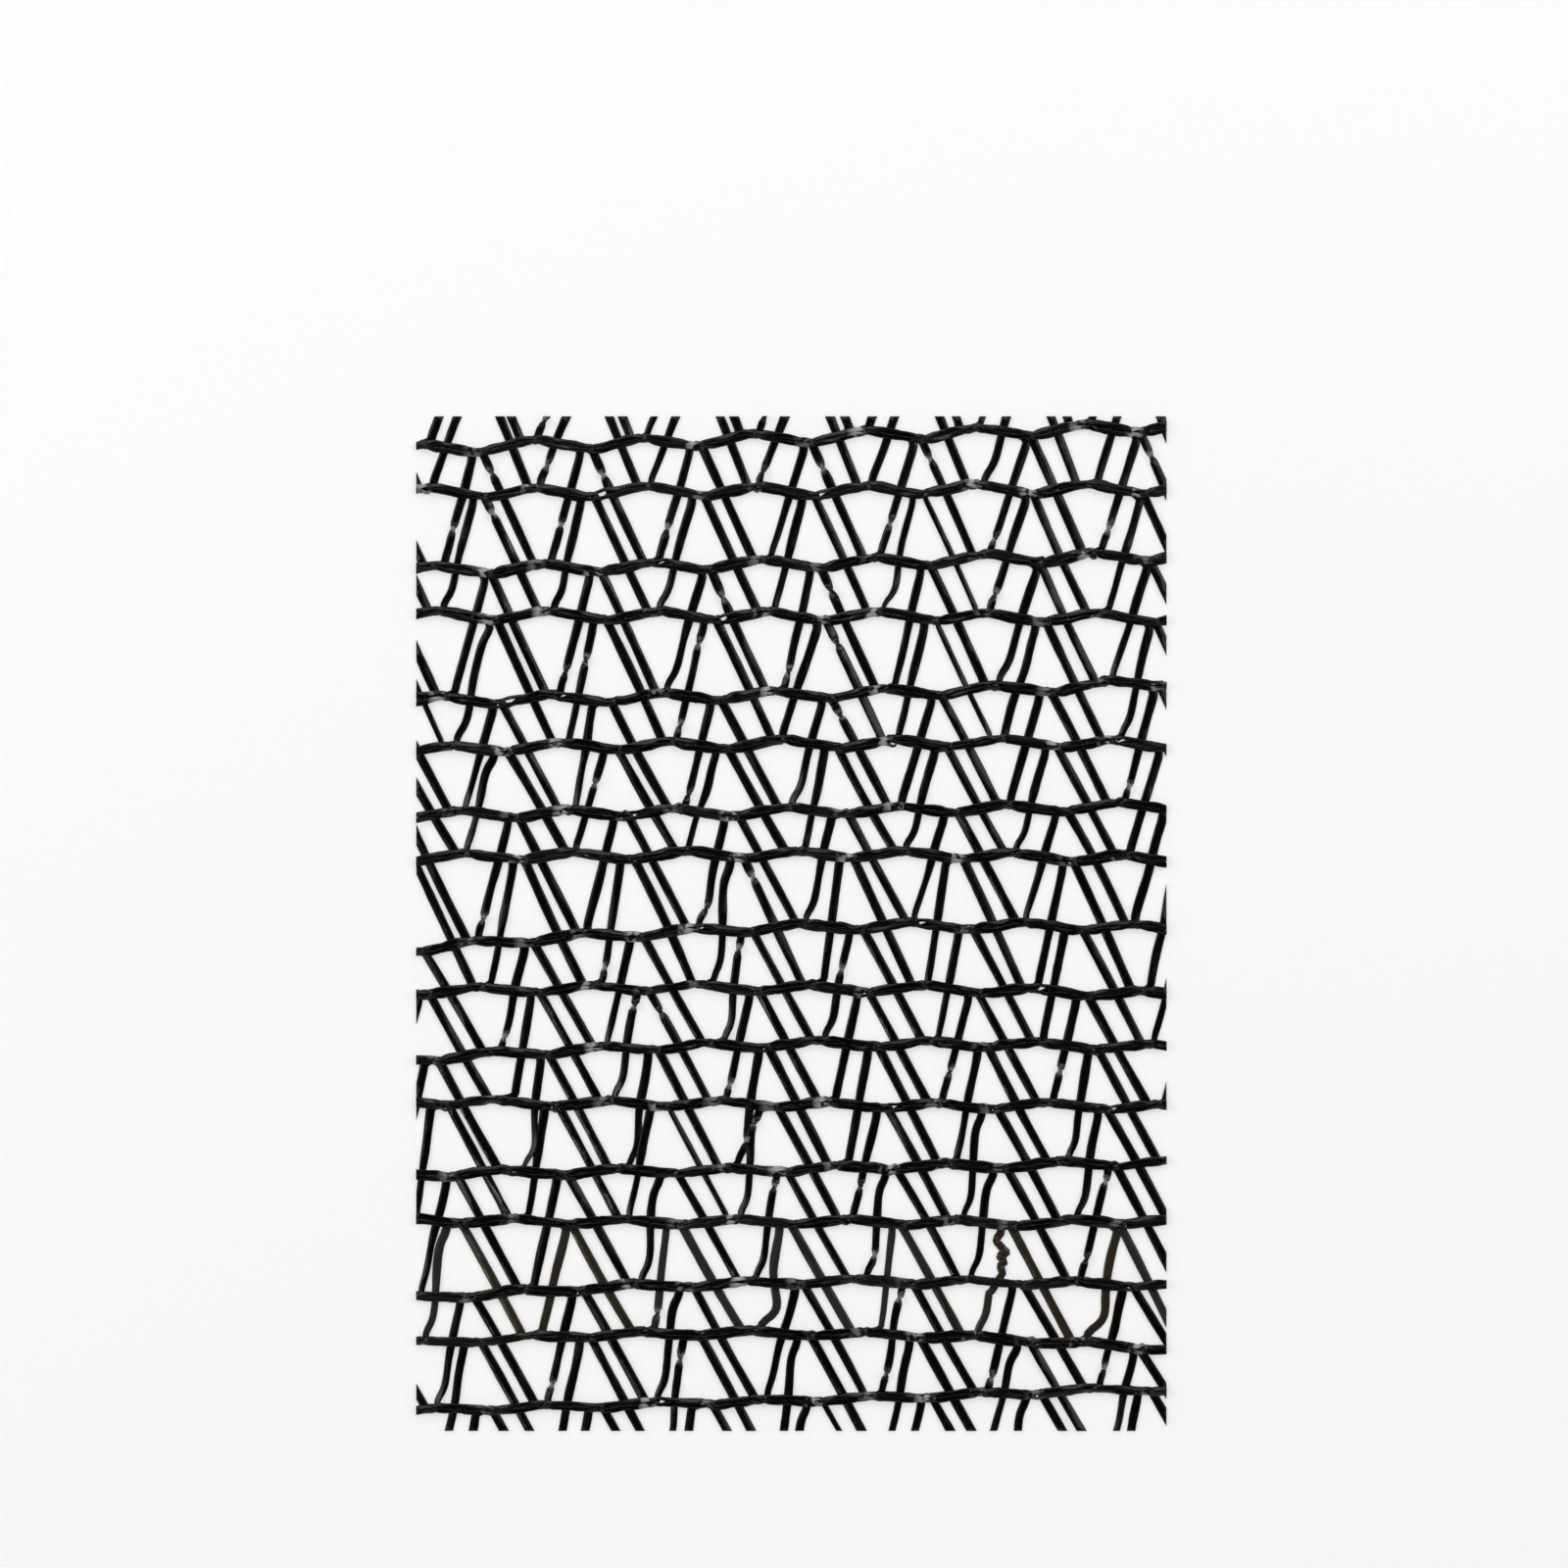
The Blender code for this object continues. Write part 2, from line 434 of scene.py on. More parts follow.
def stitch_rows(ties, number, rng, tint, tightness):
    """The stations of one stitch, from its foot to the foot of the next one."""
    start, end = ties[number].x, ties[number + 1].x
    fullness = 1 + FULLNESS_SPREAD * rng.normal() + FULLER_TOP * (2 * tightness - 1)
    one_sided = ASIDE_SPREAD * rng.normal()
    lift = LIFT_SPREAD * rng.normal()
    loose_head = rng.random() < LOOSE_HEADS
    loose_side = rng.choice((-1, 1))
    opened = rng.random() < OPENED_STITCHES
    shine = rng.choice(SHINES, p=HOW_OFTEN)
    rows = []
    there = [(station, 1) for station in FORWARD_RUN]
    back = [(station, -1) for station in reversed(FORWARD_RUN[:-1])]
    for station, side in there + back + [(station, 0) for station in UNDER_RUN]:
        share, along, aside, height, breadth, depth, roll = station
        x = start + share * (end - start) + along * MM
        painted_sheen = 0
        if side:
            if share in (0, 1):
                aside *= 1 - TIGHTEST * tightness
            aside = side * aside * fullness + one_sided + STATION_ASIDE_SPREAD * rng.normal()
            height += lift
            roll += STATION_ROLL_SPREAD * rng.normal()
            if share == 1:
                # the painted glint: pale specks at the tie that stand in for highlights on the
                # pinched film
                painted_sheen = shine * (1 if along < 0 else SHEEN_PAST_TIE)
            if loose_head and share == 1 and along > 0 and side == loose_side:
                aside *= LOOSE_WIDER
                height += LOOSE_LIFT
        if opened and share < OPENED_UP_TO and along >= 0:
            aside = aside * OPENED_WIDER if side else OPENED_UNDER
            breadth *= OPENED_NARROWER
        y = middle_line(ties, x) + aside * MM
        rows.append((x, y, height * MM, breadth * MM, depth * MM, roll * DEGREE, tint, 1, painted_sheen))
    return rows


# The tint drifts from stitch to stitch: this much is kept, and this much is new
TINT_KEPT, TINT_NEW = 0.7, 0.3
# Metres between stations, the most they turn in radians, and the tape's roughness: a share
# of its breadth, and its roll in radians
CHAIN_STEP, CHAIN_MOST_TURN = 0.00075, 0.6
CHAIN_ROUGH_BREADTH, CHAIN_ROUGH_ROLL = 0.12, 0.13
# Seeds: each tape draws its own random numbers
CHAIN_SEED = 100


def chain_path(chain, rng):
    ties = chain_ties(chain)
    tightness = 1 - chain / (CHAINS - 1)
    rows = []
    tint = rng.random()
    for number in range(len(ties) - 1):
        tint = TINT_KEPT * tint + TINT_NEW * rng.random()
        if abs(ties[number].x) < WIDTH / 2 + PERIOD:
            rows += stitch_rows(ties, number, rng, tint, tightness)
    path = smooth_path(rows, CHAIN_STEP, CHAIN_MOST_TURN)
    return roughen(path, rng, CHAIN_ROUGH_BREADTH, CHAIN_ROUGH_ROLL)


chains = []
for chain in range(CHAINS):
    rng = np.random.default_rng(CHAIN_SEED + chain)
    tapes = TapeMesh()
    tapes.add(chain_path(chain, rng), rng)
    chains.append(tape_object(f"pillar_chain_{chain + 1:02d}", tapes))
print("chains:", len(chains), "faces in the first:", len(chains[0].data.polygons))

# %% [markdown]
# ## The laid-in tapes
#
# Each laid-in tape belongs to one chain, where it makes its upper turns. It runs straight
# and taut down to the right, under the next chain's stitches, and turns at the chain after
# that. Then it climbs back. The machine feeds more tape than the climb needs, so that half
# is slack: it leaves the turn on edge, swings out, and often twists over. Past the middle
# chain it mostly lies flat again.
#
# The whole zigzag is one path, so the tape runs on unbroken through every turn. First come
# the parts that every tape shares: the turn round a tie, and the taut fall.

# %% Turns and taut falls
TAPE_BREADTH = 0.00188
TAPE_DEPTH = 0.00034
LOW = 0.00030               # the height of a tape's middle between two chains
CROSSING = 0.00044          # and inside the chain that it passes
TURN_BREADTH = 0.00120
TURN_THICKER = 1.1
TURN_OUT = 0.00045          # how far a turn goes out past its tie
TURN_TILT, TURN_TILT_SPREAD = 15, 10    # degrees

# Stations of a turn, as shares: along it, out past the tie, how much the tape is gathered
TURN_STATIONS = ((-0.34, 0.35, 0.7), (-0.08, 0.95, 1.0), (0.16, 0.95, 1.0), (0.38, 0.30, 0.7))
FALL_STATIONS = (0.0, 0.05, 0.25, 0.46, 0.54, 0.75, 0.95, 1.0)

# How far the turns are pulled to the right (less than 0 is to the left), in millimetres: at
# the left edge, at the right edge, and how much one tape differs from the next
PULL_LEFT = -0.4
PULL_RIGHT = -1.0
PULL_SPREAD = 0.3
PULL_SEED = 900

# A fall is named by its tape and by its place in the tape's zigzag, from left to right
TWISTED_FALLS = {(0, 0), (0, 1), (0, 3), (0, 4), (0, 6), (1, 0), (2, 2), (2, 3), (3, 3), (4, 3),
                 (7, 2), (9, 1)}
NARROW_FALLS = {(1, 4), (3, 4), (3, -1), (11, 1), (16, 2)}
NARROW = 0.68

# A fall bows by this much in metres, tilts by this many degrees, and varies in breadth
FALL_BOW_SPREAD, FALL_TILT_SPREAD = 0.00015, 4
FALL_BREADTHS = (0.95, 1.05)
# Where a twisted fall turns over, and the stations round that place, as shares of the fall
FALL_TWIST_AT = (0.14, 0.24)
TWIST_STATIONS = (-0.06, -0.03, 0, 0.03, 0.06)
# A twist takes up this share of a tape's way; there the tape is narrower and thicker
TWIST_LENGTH, TWIST_NARROWER, TWIST_THICKER = 0.08, 0.30, 1.8
# The middle chain holds a tape this far to both sides of halfway
HELD_WITHIN = 0.1


def turn_place(inlay, half_period):
    """A turn of a laid-in tape: at the chain's tie, but pulled a little aside."""
    place = tie(inlay + REACH if half_period % 2 else inlay, half_period)
    across = place.x / WIDTH + 0.5
    own = PULL_SPREAD * np.random.default_rng(PULL_SEED + inlay).normal()
    pulled = PULL_LEFT + (PULL_RIGHT - PULL_LEFT) * across + own
    return place + Vector((pulled * MM, 0))


def turn_rows(place, upper, rng, roll, tint):
    """Round a tie from left to right, over its far side, gathered and a little on edge."""
    out = 1 if upper else -1
    tilt = roll + (TURN_TILT + TURN_TILT_SPREAD * rng.normal()) * DEGREE
    rows = []
    for along, aside, gathered in TURN_STATIONS:
        breadth = TAPE_BREADTH + (TURN_BREADTH - TAPE_BREADTH) * gathered
        rows.append((place.x + along * TURN_RUN, place.y + out * aside * TURN_OUT,
                     LOW, breadth, TAPE_DEPTH * TURN_THICKER, tilt, tint, 1, 0))
    return rows


def turned_over(share, at, way):
    """How far a tape has turned over at a share of its way, and how hard it twists there."""
    through = min(max((share - at) / TWIST_LENGTH + 0.5, 0), 1)
    soft = through * through * (3 - 2 * through)
    return way * math.pi * soft, 4 * through * (1 - through)


def bundled(breadth, twist):
    """The breadth and depth of a tape, which bunches up where it twists."""
    return breadth * (1 - TWIST_NARROWER * twist), TAPE_DEPTH * (1 + TWIST_THICKER * twist)


def falling_rows(start, end, rng, roll, tint, name):
    """Straight down to the next turn; a twisted fall turns over soon after it starts."""
    bow = rng.normal() * FALL_BOW_SPREAD
    tilt = roll + FALL_TILT_SPREAD * DEGREE * rng.normal()
    way = rng.choice((-1, 1)) if name in TWISTED_FALLS else 0
    at = rng.uniform(*FALL_TWIST_AT)
    whole = TAPE_BREADTH * (NARROW if name in NARROW_FALLS else rng.uniform(*FALL_BREADTHS))
    stations = set(FALL_STATIONS)
    if way:
        stations |= {at + offset for offset in TWIST_STATIONS}
    rows = []
    for share in sorted(stations):
        turned, twist = turned_over(share, at, way) if way else (0, 0)
        breadth, depth = bundled(whole, twist)
        x = start.x + (end.x - start.x) * share + bow * math.sin(math.pi * share)
        y = start.y + (end.y - start.y) * share
        held = abs(share - 0.5) < HELD_WITHIN or share in (0, 1)
        # the twist also sets the painted glint: pale specks that stand in for highlights where the
        # tape turns over
        rows.append((x, y, CROSSING, breadth, depth, tilt + turned, tint, float(held), twist))
    return rows, math.pi * way


# %% [markdown]
# ### A chart of the slack halves
#
# No two climbs of a real net hang alike, yet a net made of random climbs looks wrong: the
# top of this piece is fairly taut and the bottom is loose, and neighbours resemble each
# other. So the climbs are charted, as a knitter would. One chart is for the lower half of
# each climb, from its turn to the middle chain, and one for the upper half. A row of a
# chart is one tape, and its marks are the tape's climbs from left to right. A mark is a
# letter for the kind of climb and a distance in millimetres: how far beside the turn the
# tape leaves the chain, or meets it again.

# %% The charts
# letter: (breadth share, bulge in millimetres, where it twists, degrees on edge at the turn)
LOWER_KINDS = {
    "w": (0.98, 0.0, 0, 10),       # wide and straight
    "n": (0.80, 0.1, 0, 22),       # narrow
    "t": (0.90, 0.2, 0.16, 18),    # twisted near its foot
    "T": (0.92, 0.1, 0.30, 12),    # twisted higher up
    "h": (0.86, 0.8, 0, 30),       # hooked
    "b": (0.88, 0.9, 0.18, 28),    # hooked and twisted
    "j": (0.78, 1.3, 0, 58),       # long hook, thin at its foot
    "s": (0.96, 2.4, 0, 15),       # wide, and swung far out
}
# letter: (breadth share, bulge in millimetres, where it twists)
UPPER_KINDS = {
    "w": (1.0, 0.0, 0),
    "n": (0.82, 0.0, 0),
    "c": (0.97, 0.7, 0),           # curves over into the upper turn
    "t": (0.92, 0.2, 0.84),
    "T": (0.92, 0.0, 0.64),
    "b": (0.95, 0.8, 0.88),        # curves over and twists
    "k": (0.92, 0.0, 0),           # kinked like a crumpled straw
}
FIRST_CLIMB = -2            # the number of the first mark in each row
PLAIN_FOOT, PLAIN_HEAD = "n1.5", "w2.0"    # the mark of a climb that isn't charted
# tape: its climbs' lower halves
LOWER_CHART = {
    -2: "n1.5 w2.0 t1.3 n1.2 t1.7 w1.5 n1.8 t2.0",
    -1: "n1.5 w1.7 t1.0 n1.1 t0.7 w1.3 h1.8 w2.5",
    0: "n1.5 T3.0 T2.3 T1.8 n2.2 T2.1 t2.0 t2.3",
    1: "n1.5 h1.5 h1.6 h0.6 n1.7 j1.4 t0.7 n2.5",
    2: "n1.5 w2.6 t1.6 h0.8 t2.4 n2.5 h1.2 n1.9",
    3: "n1.5 h1.5 n2.0 t1.5 w0.5 n1.8 w0.9 h2.4",
    4: "n1.5 n1.8 n1.8 t1.8 h1.0 w0.9 w0.6 t1.6",
    5: "n1.5 n0.5 n0.3 n0.8 n2.2 h0.2 h0.2 w1.1",
    6: "n1.5 t1.3 w1.0 b1.4 h0.7 n0.3 n0.6 w0.4",
    7: "n1.5 n2.4 t2.6 h2.9 w2.8 n1.5 w1.6 w2.0",
    8: "n1.5 t2.8 n1.8 h3.4 h1.3 n2.0 w0.9 n1.0",
    9: "n1.5 w3.8 h1.7 t2.0 w1.8 T1.1 T1.2 n1.5",
    10: "n1.5 j4.1 h3.0 b2.6 w2.7 n2.2 h2.6 n1.5",
    11: "n2.6 n3.0 n1.0 h1.3 T1.8 h1.9 h2.6 n1.5",
    12: "n1.7 w2.3 h1.7 h2.7 b2.8 h1.6 t1.5 n1.5",
    13: "h0.7 w2.1 t2.5 s1.8 n3.8 h1.1 s0.9 n1.5",
    14: "h1.1 t1.2 h1.2 n1.1 t2.1 t1.3 t1.5 n1.5",
    15: "w0.9 w1.5 h1.0 w2.1 n1.5 n-0.4 n2.3 n1.5",
}
# tape: its climbs' upper halves
UPPER_CHART = {
    0: "w2.0 w1.6 w2.1 w2.2 w1.3 w1.4 w0.8 w0.8",
    1: "w2.0 w2.2 w2.7 w2.5 w2.5 n2.4 w1.8 w0.9",
    2: "w2.0 w0.8 w2.0 w1.4 w1.9 w1.8 w0.5 w0.4",
    3: "w2.0 c1.0 T2.5 t2.4 w1.6 w2.3 w2.0 w1.2",
    4: "w2.0 w1.7 w4.0 w2.3 w2.0 w2.1 w2.6 w1.7",
    5: "w2.0 c3.0 T3.1 w2.5 w2.9 w2.9 w2.8 w2.0",
    6: "w2.0 w1.5 w2.5 w2.3 w3.0 w2.5 w2.2 w2.7",
    7: "w2.0 w2.0 w2.6 c2.7 w2.9 w3.7 w2.2 w2.0",
    8: "w2.0 w1.2 w2.2 t2.0 T2.4 w2.6 w3.6 w2.0",
    9: "w2.0 w1.5 t2.5 w1.9 w2.4 w2.2 w2.7 w2.0",
    10: "w2.6 w1.2 w1.8 w1.7 w1.9 w2.0 w1.9 w2.0",
    11: "w3.0 w2.2 w3.2 b3.5 w1.8 c2.9 w1.6 w2.0",
    12: "w1.5 w1.4 c3.0 t1.5 c1.8 c2.3 t1.3 w2.0",
    13: "c3.4 w1.3 n3.4 w2.8 n2.2 k2.5 w1.2 w2.0",
    14: "w2.3 w1.9 c2.6 w1.4 t2.1 w2.0 w2.0 w2.0",
    15: "w3.5 w2.3 t3.7 c2.9 w2.4 c2.9 w1.6 w2.0",
    16: "w3.0 w2.4 w3.9 c2.8 w1.9 c3.1 w2.7 w2.0",
}
# The crumpled climb: how far along it, and aside in millimetres
KINKS = ((0.40, 0.5), (0.50, 1.6), (0.56, 2.2), (0.63, 1.4), (0.66, 2.2), (0.71, 0.9), (0.745, 2.1),
         (0.79, 1.0), (0.86, -0.7), (0.93, 0.0))
# Tapes that look lighter than the rest, partly by a painted sheen, and how much; the others reach
# at most this tint
SHEEN_TAPES = {13: 0.85, 7: 0.3, 15: 0.4, 3: 0.25, 10: 0.3}
PLAIN_TINT = 0.12


def charted(chart, kinds, tape, climb, plain):
    """The kind and the distance in metres that a chart gives for a climb."""
    marks = chart.get(tape, "").split()
    place = climb - FIRST_CLIMB
    mark = marks[place] if 0 <= place < len(marks) else plain
    return kinds[mark[0]], float(mark[1:]) * MM


print("climbs charted:", sum(len(row.split()) for row in LOWER_CHART.values()))


# %% [markdown]
# A climb is a straight line between the places that the charts give, just clear of the two
# chains. Its bulge rises quickly from the foot and dies away along the tape, as a loop of
# springy film does.

# %% The slack half
CLEAR = 0.07                # the share of a climb at which it is clear of a chain
BULGE_PEAK, BULGE_SHARPNESS = 0.15, 1.5     # how far past there a bulge is widest
CLIMB_STATIONS = ({0, 0.01, 0.035, 0.965, 0.99, 1}
                  | {round(0.02 + 0.04 * i, 3) for i in range(25)})
LOWER_BREADTHS, UPPER_BREADTHS = (0.95, 1.05), (0.96, 1.04)
TWIST_MOVED = 0.04          # a climb's twist lies this far from its charted place, at most
WAVER_SPREAD, WAVER_TURNS = 0.00010, 9
# Round the middle chain the lower half's breadth gives way to the upper half's
CHANGE_FROM, CHANGE_LENGTH = 0.42, 0.16
# On edge at its foot a tape looks narrower, and both effects die away along it
EDGE_NARROWER, NARROWER_UP_TO, ON_EDGE_UP_TO = 0.16, 0.13, 0.15
CRUMPLE_TILT, CRUMPLE_TURNS = 22, 60


def bulge(share):
    past = max(share - CLEAR, 0) / BULGE_PEAK
    return (past * math.exp(1 - past)) ** BULGE_SHARPNESS


def on_chain(share):
    """1 at the turn, 0 where the climb is clear of the chain."""
    return max(1 - share / CLEAR, 0)


def kinked(share):
    """How far aside the crumpled climb lies."""
    at, aside = zip(*KINKS)
    return float(np.interp(share, at, aside, left=0)) * MM


def rising_rows(inlay, period, rng, roll, tint):
    """Climbs from the lower turn to the upper one."""
    start = turn_place(inlay, 2 * period + 1)
    end = turn_place(inlay, 2 * period + 2)
    lower, foot = charted(LOWER_CHART, LOWER_KINDS, inlay, period, PLAIN_FOOT)
    upper, head = charted(UPPER_CHART, UPPER_KINDS, inlay, period, PLAIN_HEAD)
    leaves = tie(inlay + REACH, 2 * period + 1).x + foot
    meets = tie(inlay, 2 * period + 2).x - head
    low_ties, high_ties = chain_ties(inlay + REACH), chain_ties(inlay)

    breadth_low, bulge_low, twist_at_low, on_edge = lower
    breadth_high, bulge_high, twist_at_high = upper
    crumpled = upper == UPPER_KINDS["k"]
    breadth_low *= rng.uniform(*LOWER_BREADTHS)
    breadth_high *= rng.uniform(*UPPER_BREADTHS)
    way_low, way_high, lean = rng.choice((-1, 1), size=3)
    moved = rng.uniform(-TWIST_MOVED, TWIST_MOVED)
    waver = rng.normal() * WAVER_SPREAD
    phase = rng.uniform(0, 2 * math.pi)
    shares = set(CLIMB_STATIONS)
    if crumpled:
        shares |= {at for at, aside in KINKS}
    rows = []
    over_low = over_high = 0
    for share in sorted(shares):
        twist = 0
        if twist_at_low:
            over_low, twist = turned_over(share, twist_at_low + moved, way_low)
        if twist_at_high:
            over_high, twist_high = turned_over(share, twist_at_high + moved, way_high)
            twist = max(twist, twist_high)
        low, high = on_chain(share), on_chain(1 - share)
        climbed = min(max((share - CLEAR) / (1 - 2 * CLEAR), 0), 1)
        x = leaves + (meets - leaves) * climbed
        x += (start.x + TURN_RUN / 2 - leaves) * low ** 3
        x += (end.x - TURN_RUN / 2 - meets) * high ** 3
        y = start.y + (end.y - start.y) * share
        y += (middle_line(low_ties, x) - start.y) * low
        y += (middle_line(high_ties, x) - end.y) * high
        x += (bulge_low * bulge(share) - bulge_high * bulge(1 - share)) * MM
        x += waver * math.sin(WAVER_TURNS * share + phase) * math.sin(math.pi * share)
        past_middle = min(max((share - CHANGE_FROM) / CHANGE_LENGTH, 0), 1)
        whole = TAPE_BREADTH * (breadth_low + (breadth_high - breadth_low) * past_middle)
        at_foot = math.exp(-share / NARROWER_UP_TO) * on_edge / 90
        breadth, depth = bundled(whole * (1 - EDGE_NARROWER * at_foot), twist)
        tilt = (roll + lean * on_edge * DEGREE * math.exp(-share / ON_EDGE_UP_TO)
                + over_low + over_high)
        if crumpled:
            x += kinked(share)
            tilt += CRUMPLE_TILT * DEGREE * math.sin(CRUMPLE_TURNS * share) * past_middle
        held = abs(share - 0.5) < HELD_WITHIN
        z = CROSSING if held else LOW
        # the twist also sets the painted glint: pale specks that stand in for highlights where the
        # tape turns over
        rows.append((x, y, z, breadth, depth, tilt, tint, float(held), twist))
    return rows, over_low + over_high


FLOOR_GAP = 0.00004


def off_the_floor(path):
    """Lift every station whose tape would reach below the floor."""
    on_edge = np.abs(np.sin(path[:, ROLL])) * path[:, BREADTH]
    lying = np.abs(np.cos(path[:, ROLL])) * path[:, DEPTH]
    path[:, Z] = np.maximum(path[:, Z], (on_edge + lying) / 2 + FLOOR_GAP)
    return path


# %% [markdown]
# The tape is followed from left to right: round an upper turn, down, round a lower turn and
# up again. A twist turns the tape over for good, so each part starts from the roll that the
# part before it ended with.

# %% All laid-in tapes as one object
# The same kinds of values as for the chains
INLAY_STEP, INLAY_MOST_TURN = 0.0012, 0.55
INLAY_ROUGH_BREADTH, INLAY_ROUGH_ROLL = 0.035, 0.05
INLAY_SEED = 500


def inlay_path(inlay, rng):
    rows = []
    roll = 0
    tint = SHEEN_TAPES.get(inlay, PLAIN_TINT * rng.random())
    run = Vector((TURN_RUN / 2, 0))
    for period in range(HALF_PERIODS.start // 2, HALF_PERIODS.stop // 2):
        top = turn_place(inlay, 2 * period)
        bottom = turn_place(inlay, 2 * period + 1)
        rows += turn_rows(top, True, rng, roll, tint)
        fall, over = falling_rows(top + run, bottom - run, rng, roll, tint, (inlay, period))
        rows += fall
        roll += over
        rows += turn_rows(bottom, False, rng, roll, tint)
        climb, over = rising_rows(inlay, period, rng, roll, tint)
        rows += climb
        roll += over
    path = smooth_path(rows, INLAY_STEP, INLAY_MOST_TURN)
    return off_the_floor(roughen(path, rng, INLAY_ROUGH_BREADTH, INLAY_ROUGH_ROLL))


inlay_tapes = TapeMesh()
for inlay in range(-REACH, CHAINS):
    rng = np.random.default_rng(INLAY_SEED + inlay)
    inlay_tapes.add(inlay_path(inlay, rng), rng)
inlays = tape_object("inlay_tapes", inlay_tapes)
print("laid-in tapes:", CHAINS + REACH, "faces:", len(inlays.data.polygons))

# %% [markdown]
# ## The tape's finish
#
# The tape is polyethylene film, coloured black right through. Seen close, it isn't one black. Film
# is drawn out while it is made, which leaves fine lines along it. Some stretches are painted dark
# grey or faintly olive. That is partly thinner, less folded film, and partly a painted sheen that
# stands in for light mirrored by flat film. And pale specks are painted wherever the film is
# pinched or twisted hard. They are painted glints that stand in for highlights, and partly film
# whitened by the pinch.
#
# Each of these is an effect that both kinds of tape share, so each is a node group with named
# inputs. The groups read values that the sweep stored on the mesh: how far along and across its
# tape a point lies, the tape's own tint, and how strong the painted glint is there. An image could
# hold the same things, but it would have to be unwrapped onto metres of tape.

# %% Helpers for node groups
def new_group(name, inputs, outputs):
    """A shader node group; inputs are (name, type, default) and outputs (name, type)."""
    group = bpy.data.node_groups.new(name, "ShaderNodeTree")
    for label, kind, default in inputs:
        socket = group.interface.new_socket(label, in_out="INPUT", socket_type=kind)
        socket.default_value = default
    for label, kind in outputs:
        group.interface.new_socket(label, in_out="OUTPUT", socket_type=kind)
    given = group.nodes.new("NodeGroupInput").outputs
    result = group.nodes.new("NodeGroupOutput").inputs
    return group, given, result


def add_node(tree, kind, settings=None, **values):
    """A node with its sockets set or linked: a socket as a value makes a link.

    A socket is named with _ for each space, or as i0, i1 and so on by its number."""
    node = tree.nodes.new(kind)
    for key, value in (settings or {}).items():
        setattr(node, key, value)
    for key, value in values.items():
        place = int(key[1:]) if key[1:].isdigit() else key.replace("_", " ")
        socket = node.inputs[place]
        if isinstance(value, bpy.types.NodeSocket):
            tree.links.new(value, socket)
        else:
            socket.default_value = value
    return node


def stored(tree, key):
    """A value that the sweep stored on the mesh."""
    return add_node(tree, "ShaderNodeAttribute", {"attribute_name": key}).outputs["Fac"]


def arithmetic(tree, operation, *terms):
    """The result of a Math node; MULTIPLY_ADD takes three terms and the others two."""
    sockets = {f"i{number}": term for number, term in enumerate(terms)}
    return add_node(tree, "ShaderNodeMath", {"operation": operation}, **sockets).outputs[0]


def mixed(tree, share, first, second):
    """A colour between two colours."""
    node = add_node(tree, "ShaderNodeMix", {"data_type": "RGBA"}, i0=share, i6=first, i7=second)
    return node.outputs[2]


def eased(tree, value, low, high):
    """0 below low, 1 above high, and a soft step between."""
    node = add_node(tree, "ShaderNodeMapRange", {"interpolation_type": "SMOOTHSTEP"},
                    Value=value, From_Min=low, From_Max=high)
    return node.outputs["Result"]


# %% [markdown]
# ### Drawn lines
#
# Noise looks the same in every direction. To turn it into lines, its coordinates are
# stretched: many steps across the tape, few along it. The stored values across and along
# are put together as one vector for that, so the lines follow each tape round its bends.

# %% Node group: drawn lines
def drawn_lines_group():
    group, given, result = new_group(
        "drawn_film_lines",
        [("Lines Across", "NodeSocketFloat", 5.0), ("Change Along", "NodeSocketFloat", 60.0)],
        [("Lines", "NodeSocketFloat"), ("Height", "NodeSocketFloat")])
    across = arithmetic(group, "MULTIPLY", stored(group, "across"), given["Lines Across"])
    along = arithmetic(group, "MULTIPLY", stored(group, "along"), given["Change Along"])
    place = add_node(group, "ShaderNodeCombineXYZ", X=across, Y=along, Z=stored(group, "tint"))
    fine = add_node(group, "ShaderNodeTexNoise", Vector=place.outputs[0], Scale=1.0, Detail=3.0)
    lines = eased(group, fine.outputs["Fac"], 0.38, 0.66)
    crease = add_node(group, "ShaderNodeTexNoise", Vector=place.outputs[0], Scale=0.35, Detail=1.0)
    height = arithmetic(group, "ADD", arithmetic(group, "MULTIPLY", lines, 0.35),
                        crease.outputs["Fac"])
    group.links.new(lines, result["Lines"])
    group.links.new(height, result["Height"])
    return group


# %% [markdown]
# ### Thin stretches with painted sheen, and painted glints
#
# The second group chooses between the full black and two lighter colours, dark grey and faintly
# olive. These are partly thinner film and partly a painted sheen that stands in for light mirrored
# by flat film. It goes by the tape's tint, nudged by slow noise so that such a stretch starts and
# stops along a tape. The third paints pale specks that stand in for glints where the film is bent
# hard, partly film whitened by the bend, and makes them slightly rough.

